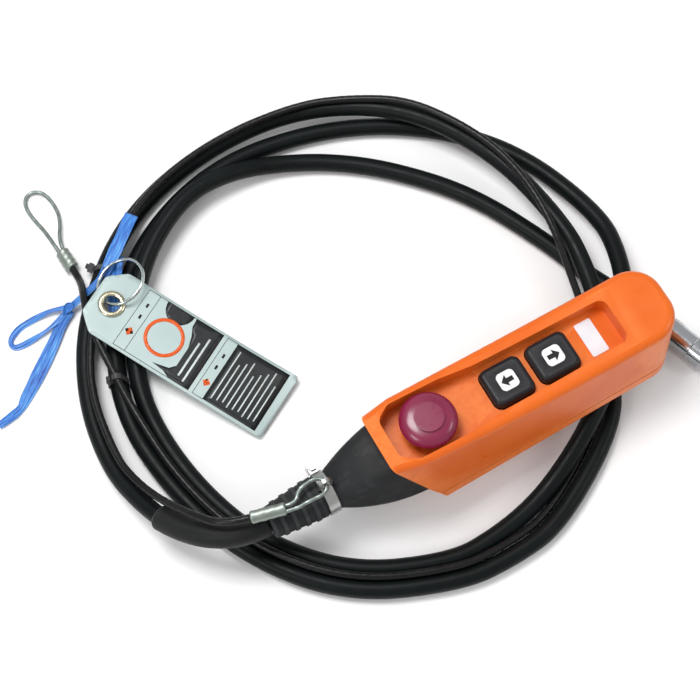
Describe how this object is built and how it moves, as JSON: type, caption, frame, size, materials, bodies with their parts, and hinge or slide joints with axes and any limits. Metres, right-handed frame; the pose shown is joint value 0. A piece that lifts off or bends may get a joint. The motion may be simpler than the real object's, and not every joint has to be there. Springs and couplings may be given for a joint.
{
  "type": "pendant control station",
  "caption": "Hand-held hoist control with up and down push buttons, a mushroom stop, a coiled control cable, a strain rope and a plug.",
  "frame": {"origin": "centre of the box round the housing and its cable boot", "axes": "+X along the housing from the cable entry to the nose, +Z out of the button face"},
  "size_m": [0.4317, 0.3879, 0.0825],
  "materials": {
    "orange_shell": "moulded thermoplastic, satin gloss",
    "black_rubber": "matt black rubber",
    "black_nylon": "black nylon",
    "cable_jacket": "smooth black cable jacket with a soft sheen",
    "zinc_steel": "zinc plated steel",
    "core_insulation": "coloured core insulation",
    "spring_steel": "bright spring wire",
    "contact_brass": "plain brass",
    "red_mushroom": "glossy red plastic",
    "blank_sticker": "blank white film",
    "black_button": "black plastic, satin",
    "white_insert": "white plastic inlay",
    "wire_rope": "plastic coated steel strand",
    "tie_nylon": "black nylon",
    "plug_chrome": "nickel plated",
    "tag_card": "coated card",
    "eyelet_brass": "pale brass",
    "ring_steel": "bright wire",
    "film_ribbon": "blue film"
  },
  "bodies": {
    "station": {"front_cover": "orange_shell", "rear_shell": "orange_shell", "housing_gasket": "black_rubber", "housing_screws": "zinc_steel", "cable_boot": "black_rubber", "cable_gland": "black_nylon", "cable_tail": "cable_jacket", "boot_band": "zinc_steel", "band_bolt": "zinc_steel", "band_nut": "zinc_steel", "cable_cores": "core_insulation", "up_spring": "spring_steel", "down_spring": "spring_steel", "fixed_contacts": "contact_brass", "switch_block": "black_nylon", "terminal_screws": "zinc_steel", "block_screw": "zinc_steel", "stop_collar": "black_nylon", "stop_nut": "black_nylon", "stop_block": "black_nylon", "stop_spring": "spring_steel", "rating_label": "blank_sticker", "pendant_cable": "cable_jacket", "support_rope": "wire_rope", "cable_sleeve": "black_rubber", "cable_ties": "tie_nylon", "lower_ferrule": "zinc_steel", "upper_ferrule": "zinc_steel", "lower_loop": "wire_rope", "upper_loop": "wire_rope", "plug_clamp_nut": "plug_chrome", "plug_shell": "plug_chrome", "plug_insert": "black_nylon", "plug_pins": "contact_brass", "split_ring": "ring_steel", "coil_tie": "film_ribbon"},
    "up_button": {"up_button": "black_button", "up_arrow_plate": "white_insert", "up_bridge": "contact_brass"},
    "down_button": {"down_button": "black_button", "down_arrow_plate": "white_insert", "down_bridge": "contact_brass"},
    "stop_stem": {"stop_stem": "black_nylon"},
    "stop_head": {"stop_head": "red_mushroom"},
    "coupling_ring": {"plug_ring": "plug_chrome"},
    "tag": {"warning_tag": "tag_card", "tag_eyelet": "eyelet_brass"}
  },
  "joints": [
    {"name": "up_press", "type": "slide", "parent": "station", "child": "up_button", "axis": [0, 0, -1], "range_m": [0, 0.004], "stiffness_N_per_m": 400, "springref_m": -0.004, "deforming": ["up_spring"]},
    {"name": "down_press", "type": "slide", "parent": "station", "child": "down_button", "axis": [0, 0, -1], "range_m": [0, 0.004], "stiffness_N_per_m": 400, "springref_m": -0.004, "deforming": ["down_spring"]},
    {"name": "stop_press", "type": "slide", "parent": "station", "child": "stop_stem", "axis": [0, 0, -1], "range_m": [0, 0.005], "deforming": ["stop_spring"]},
    {"name": "stop_twist", "type": "hinge", "parent": "stop_stem", "child": "stop_head", "pos_m": [-0.0295, 0, 0.02], "axis": [0, 0, 1], "range_deg": [-45, 0], "stiffness_Nm_per_rad": 0.08, "springref_deg": 9.74},
    {"name": "ring_turn", "type": "hinge", "parent": "station", "child": "coupling_ring", "pos_m": [0.1575, -0.013, -0.0456], "axis": [0.31, -0.9507, 0], "continuous": true},
    {"name": "tag_lift", "type": "hinge", "parent": "station", "child": "tag", "pos_m": [-0.157, 0.185, -0.03], "axis": [-0.8658, -0.5003, 0], "range_deg": [0, 6]}
  ]
}
